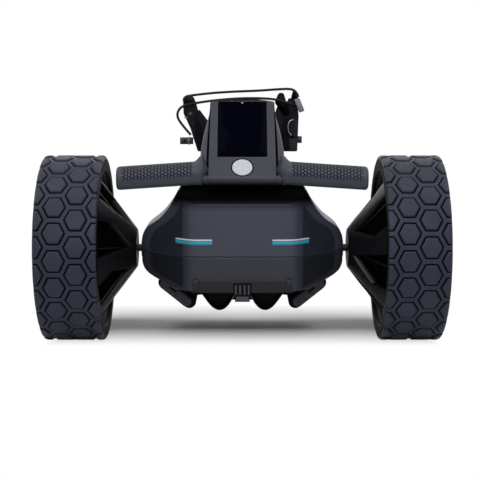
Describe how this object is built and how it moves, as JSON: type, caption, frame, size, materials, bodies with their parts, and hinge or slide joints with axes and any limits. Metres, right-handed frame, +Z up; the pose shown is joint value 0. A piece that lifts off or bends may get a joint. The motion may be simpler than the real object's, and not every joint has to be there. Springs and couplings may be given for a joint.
{
  "type": "electric golf trolley",
  "caption": "Folded electric golf trolley: driven rear wheels, folding mast with a touch-screen console and grips, bag rests and a swivelling front wheel.",
  "frame": {"origin": "middle of the bounding box, on the ground under the folded trolley", "axes": "+X to the right seen from behind, +Y forward towards the front wheel, +Z up"},
  "size_m": [0.616, 0.676, 0.3938],
  "materials": {
    "housing_plastic": "textured black ABS",
    "lower_plastic": "textured black ABS",
    "gloss_black": "moulded gloss black nylon",
    "tyre_rubber": "moulded rubber with a hexagon tread",
    "wheel_plastic": "glass-filled nylon, satin black",
    "steel": "turned steel",
    "mast_aluminium": "black powder coat on aluminium",
    "cast_bracket": "black powder coat on cast aluminium",
    "console_plastic": "grey satin plastic",
    "screen_glass": "black back-painted glass",
    "button_metal": "brushed aluminium cap",
    "grip_rubber": "fine dimpled rubber",
    "pad_rubber": "grained grey rubber",
    "cord_elastic": "elastic cord in a woven black sleeve",
    "board_laminate": "green glass-fibre laminate",
    "battery_case": "black moulded case",
    "motor_can": "zinc plated steel can",
    "gearbox_metal": "cast aluminium",
    "toggle_plastic": "grey nylon",
    "latch_plastic": "dark grey nylon"
  },
  "bodies": {
    "chassis": {"upper_shell": "housing_plastic", "lower_shell": "lower_plastic", "motors": "motor_can", "gearboxes": "gearbox_metal", "axle_bearings": "steel", "battery_tray": "mast_aluminium", "battery_pack": "battery_case", "control_board": "board_laminate", "shell_screws": "steel", "spine_tube": "mast_aluminium", "spine_bracket": "cast_bracket", "front_bracket": "cast_bracket", "hinge_pins": "steel", "mast_bracket": "cast_bracket", "lower_saddle": "gloss_black", "lower_arm_pins": "steel", "rear_lip": "lower_plastic", "latch_pin": "steel"},
    "wheel_right": {"tyre_right": "tyre_rubber", "wheel_centre_right": "wheel_plastic", "drive_shaft_right": "steel"},
    "wheel_left": {"tyre_left": "tyre_rubber", "wheel_centre_left": "wheel_plastic", "drive_shaft_left": "steel"},
    "release_right": {"wheel_release_right": "latch_plastic"},
    "release_left": {"wheel_release_left": "latch_plastic"},
    "front_leg": {"front_leg_tube": "mast_aluminium"},
    "front_fork": {"front_fork": "cast_bracket", "stem_cap": "latch_plastic", "front_axle": "steel"},
    "front_wheel": {"front_tyre": "tyre_rubber", "front_wheel_centre": "wheel_plastic"},
    "mast_lower": {"lower_mast_tube": "mast_aluminium", "mast_knuckle": "cast_bracket", "knee_bracket": "cast_bracket"},
    "knee_lever": {"knee_lever": "latch_plastic"},
    "mast_upper": {"upper_mast_tube": "mast_aluminium", "knee_tongue": "cast_bracket", "handle_tongue": "cast_bracket", "cradle_bar": "gloss_black", "cradle_bolts": "steel", "cradle_arm_left": "pad_rubber", "cradle_arm_right": "pad_rubber", "cradle_struts": "gloss_black", "cord_pegs": "latch_plastic", "cord_toggle": "toggle_plastic", "cord_top": "cord_elastic", "cord_front": "cord_elastic"},
    "handle": {"console_shell": "console_plastic", "screen_glass": "screen_glass", "console_tray": "lower_plastic", "screen_board": "board_laminate", "handle_bar": "cast_bracket", "handle_pin": "steel", "grip_left": "grip_rubber", "grip_right": "grip_rubber"},
    "power_button": {"power_button": "button_metal"},
    "lower_arm_right": {"lower_arm_right": "pad_rubber"},
    "lower_arm_left": {"lower_arm_left": "pad_rubber"},
    "fold_latch": {"fold_latch": "latch_plastic"}
  },
  "joints": [
    {"name": "wheel_right_spin", "type": "hinge", "parent": "chassis", "child": "wheel_right", "pos_m": [0, -0.193, 0.145], "axis": [1, 0, 0], "continuous": true},
    {"name": "wheel_left_spin", "type": "hinge", "parent": "chassis", "child": "wheel_left", "pos_m": [0, -0.193, 0.145], "axis": [1, 0, 0], "continuous": true},
    {"name": "wheel_release_right_press", "type": "slide", "parent": "wheel_right", "child": "release_right", "axis": [-1, 0, 0], "range_m": [0, 0.004], "stiffness_N_per_m": 400},
    {"name": "wheel_release_left_press", "type": "slide", "parent": "wheel_left", "child": "release_left", "axis": [1, 0, 0], "range_m": [0, 0.004], "stiffness_N_per_m": 400},
    {"name": "front_leg_fold", "type": "hinge", "parent": "chassis", "child": "front_leg", "pos_m": [0, 0.322, 0.23], "axis": [1, 0, 0], "range_deg": [0, 108]},
    {"name": "front_swivel", "type": "hinge", "parent": "front_leg", "child": "front_fork", "pos_m": [0, 0.2476, 0.03337], "axis": [0, 0.9511, -0.309], "continuous": true},
    {"name": "front_wheel_spin", "type": "hinge", "parent": "front_fork", "child": "front_wheel", "pos_m": [0, 0.13699, 0.09559], "axis": [1, 0, 0], "continuous": true},
    {"name": "mast_fold", "type": "hinge", "parent": "chassis", "child": "mast_lower", "pos_m": [0, -0.098, 0.256], "axis": [1, 0, 0], "range_deg": [0, 120]},
    {"name": "knee_fold", "type": "hinge", "parent": "mast_lower", "child": "mast_upper", "pos_m": [0, 0.277, 0.274], "axis": [-1, 0, 0], "range_deg": [0, 180]},
    {"name": "knee_lever_turn", "type": "hinge", "parent": "mast_lower", "child": "knee_lever", "pos_m": [0, 0.277, 0.274], "axis": [-1, 0, 0], "range_deg": [0, 90]},
    {"name": "handle_tilt", "type": "hinge", "parent": "mast_upper", "child": "handle", "pos_m": [0, -0.26681, 0.26418], "axis": [1, 0, 0], "range_deg": [0, 35]},
    {"name": "power_button_press", "type": "slide", "parent": "handle", "child": "power_button", "axis": [0, 0.7296, -0.6839], "range_m": [0, 0.0015], "stiffness_N_per_m": 500},
    {"name": "lower_arm_right_swing", "type": "hinge", "parent": "chassis", "child": "lower_arm_right", "pos_m": [0.0845, -0.193, 0.057], "axis": [0, 1, 0], "range_deg": [0, 30]},
    {"name": "lower_arm_left_swing", "type": "hinge", "parent": "chassis", "child": "lower_arm_left", "pos_m": [-0.0845, -0.193, 0.057], "axis": [0, -1, 0], "range_deg": [0, 30]},
    {"name": "fold_latch_pull", "type": "hinge", "parent": "chassis", "child": "fold_latch", "pos_m": [0, -0.2968, 0.103], "axis": [-1, 0, 0], "range_deg": [0, 30]}
  ],
  "couplings": [
    {"joint": "knee_fold", "follows": "mast_fold", "ratio": 1.5}
  ]
}
